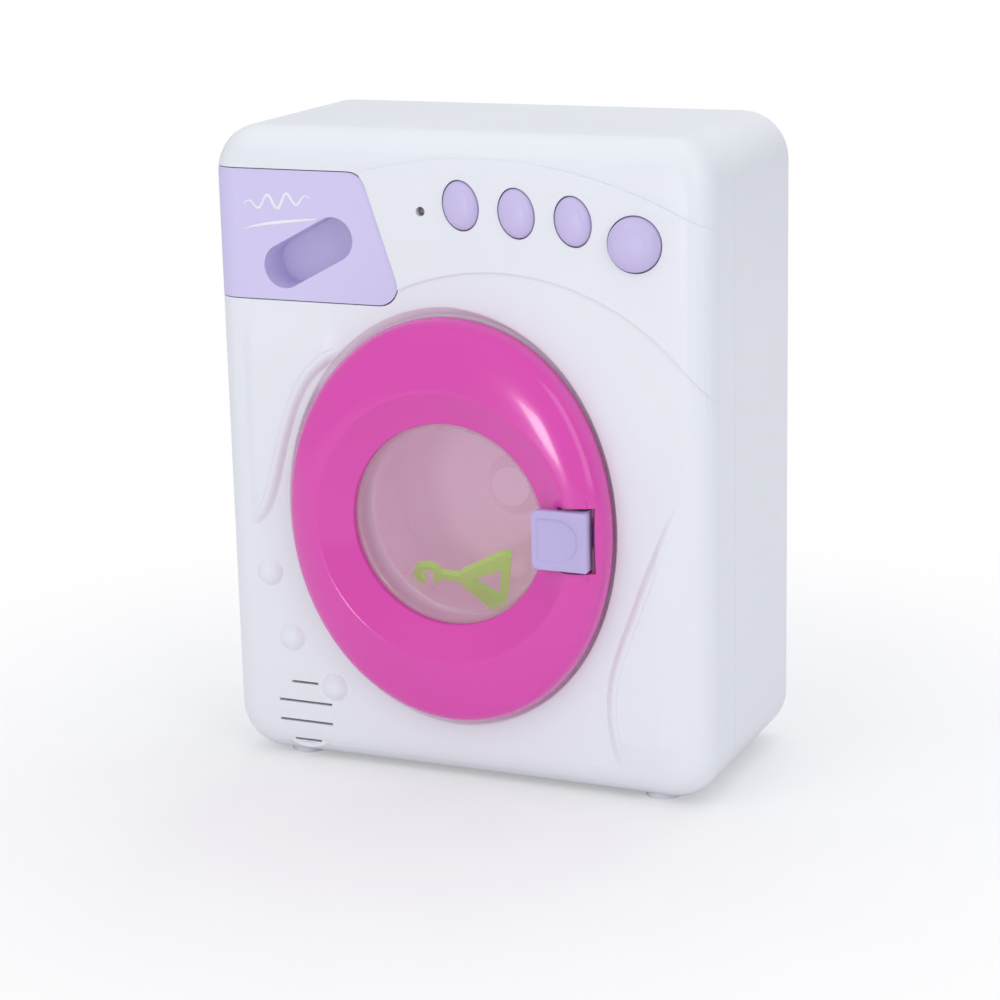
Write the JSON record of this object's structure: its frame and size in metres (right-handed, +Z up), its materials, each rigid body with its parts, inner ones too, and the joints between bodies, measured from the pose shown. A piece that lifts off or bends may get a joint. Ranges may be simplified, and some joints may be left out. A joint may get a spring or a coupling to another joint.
{
  "type": "toy washing machine",
  "caption": "Front-loading toy washing machine with a hinged round door and latch, geared drum, press buttons, pull-out drawer, speaker and battery compartment.",
  "frame": {"origin": "on the floor plane under the middle of the whole toy, latch included", "axes": "+Z up; the door and buttons face -Y; +X is to the right for someone who looks at the door"},
  "size_m": [0.178, 0.098, 0.222],
  "materials": {
    "white_plastic": "moulded, slightly glossy",
    "lilac_plastic": "moulded, glossy",
    "magenta_plastic": "moulded, glossy",
    "mauve_plastic": "moulded, satin",
    "clear_plastic": "clear, polished",
    "lime_plastic": "moulded, glossy",
    "gear_plastic": "moulded, satin",
    "brass": "turned",
    "steel": "zinc plated",
    "motor_can": "drawn can",
    "cell_sleeve": "printed film sleeve, left plain",
    "black_plastic": "moulded, satin",
    "dome_rubber": "moulded, matt",
    "lamp_plastic": "translucent",
    "board_green": "solder mask"
  },
  "bodies": {
    "case": {"front_shell": "white_plastic", "rear_shell": "lilac_plastic", "case_screws": "steel", "drawer_sleeve": "white_plastic", "sleeve_screws": "steel", "switch_dome_1": "dome_rubber", "switch_dome_2": "dome_rubber", "switch_dome_3": "dome_rubber", "switch_dome_4": "dome_rubber", "led": "lamp_plastic", "control_board": "board_green", "board_screws": "steel", "speaker": "black_plastic", "speaker_ring": "white_plastic", "speaker_screws": "steel", "idler_pin": "steel", "front_bush": "brass", "rear_bush": "brass", "gear_plate": "white_plastic", "gear_plate_screws": "steel", "motor": "motor_can", "battery_cells": "cell_sleeve", "contact_plates": "steel", "contact_springs": "steel", "battery_door": "lilac_plastic", "battery_door_screw": "steel", "power_switch": "black_plastic"},
    "door": {"door_ring": "magenta_plastic", "door_back": "mauve_plastic", "window": "clear_plastic", "door_screws": "steel", "hinge_pin": "steel", "latch_pin": "steel", "latch_spring": "steel"},
    "latch": {"latch": "lilac_plastic"},
    "button_1": {"button_1": "lilac_plastic"},
    "button_2": {"button_2": "lilac_plastic"},
    "button_3": {"button_3": "lilac_plastic"},
    "start_button": {"start_button": "lilac_plastic"},
    "drawer": {"drawer_front": "lilac_plastic", "drawer_tray": "white_plastic"},
    "drum": {"drum": "mauve_plastic", "drum_disc": "mauve_plastic", "drum_shaft": "steel", "drum_gear": "gear_plastic", "doll_hanger": "lime_plastic"},
    "idler": {"idler_gear": "gear_plastic"},
    "motor_rotor": {"motor_shaft": "steel", "motor_pinion": "gear_plastic"},
    "knob": {"switch_knob": "black_plastic"}
  },
  "joints": [
    {"name": "door_swing", "type": "hinge", "parent": "case", "child": "door", "pos_m": [-0.0541, -0.0389, 0.093], "axis": [0, 0, -1], "range_deg": [0, 100]},
    {"name": "latch_pull", "type": "hinge", "parent": "door", "child": "latch", "pos_m": [0.0479, -0.042, 0.093], "axis": [0, 0, 1], "range_deg": [0, 15], "stiffness_Nm_per_rad": 0.03, "springref_deg": -8.59, "deforming": ["latch_spring"]},
    {"name": "button_1_press", "type": "slide", "parent": "case", "child": "button_1", "axis": [0, 1, 0], "range_m": [0, 0.0015], "stiffness_N_per_m": 250, "springref_m": -0.0006, "deforming": ["switch_dome_1"]},
    {"name": "button_2_press", "type": "slide", "parent": "case", "child": "button_2", "axis": [0, 1, 0], "range_m": [0, 0.0015], "stiffness_N_per_m": 250, "springref_m": -0.0006, "deforming": ["switch_dome_2"]},
    {"name": "button_3_press", "type": "slide", "parent": "case", "child": "button_3", "axis": [0, 1, 0], "range_m": [0, 0.0015], "stiffness_N_per_m": 250, "springref_m": -0.0006, "deforming": ["switch_dome_3"]},
    {"name": "start_button_press", "type": "slide", "parent": "case", "child": "start_button", "axis": [0, 1, 0], "range_m": [0, 0.0015], "stiffness_N_per_m": 250, "springref_m": -0.0006, "deforming": ["switch_dome_4"]},
    {"name": "drawer_slide", "type": "slide", "parent": "case", "child": "drawer", "axis": [0, -1, 0], "range_m": [0, 0.03]},
    {"name": "drum_spin", "type": "hinge", "parent": "case", "child": "drum", "pos_m": [-0.001, 0, 0.093], "axis": [0, 1, 0], "continuous": true},
    {"name": "idler_spin", "type": "hinge", "parent": "case", "child": "idler", "pos_m": [0.02455, 0.03, 0.1257], "axis": [0, 1, 0], "continuous": true},
    {"name": "motor_spin", "type": "hinge", "parent": "case", "child": "motor_rotor", "pos_m": [0.03766, 0.03, 0.14249], "axis": [0, 1, 0], "continuous": true},
    {"name": "knob_slide", "type": "slide", "parent": "case", "child": "knob", "axis": [1, 0, 0], "range_m": [0, 0.004]}
  ],
  "couplings": [
    {"joint": "idler_spin", "follows": "drum_spin", "ratio": -6.6667},
    {"joint": "motor_spin", "follows": "drum_spin", "ratio": 32.593}
  ]
}
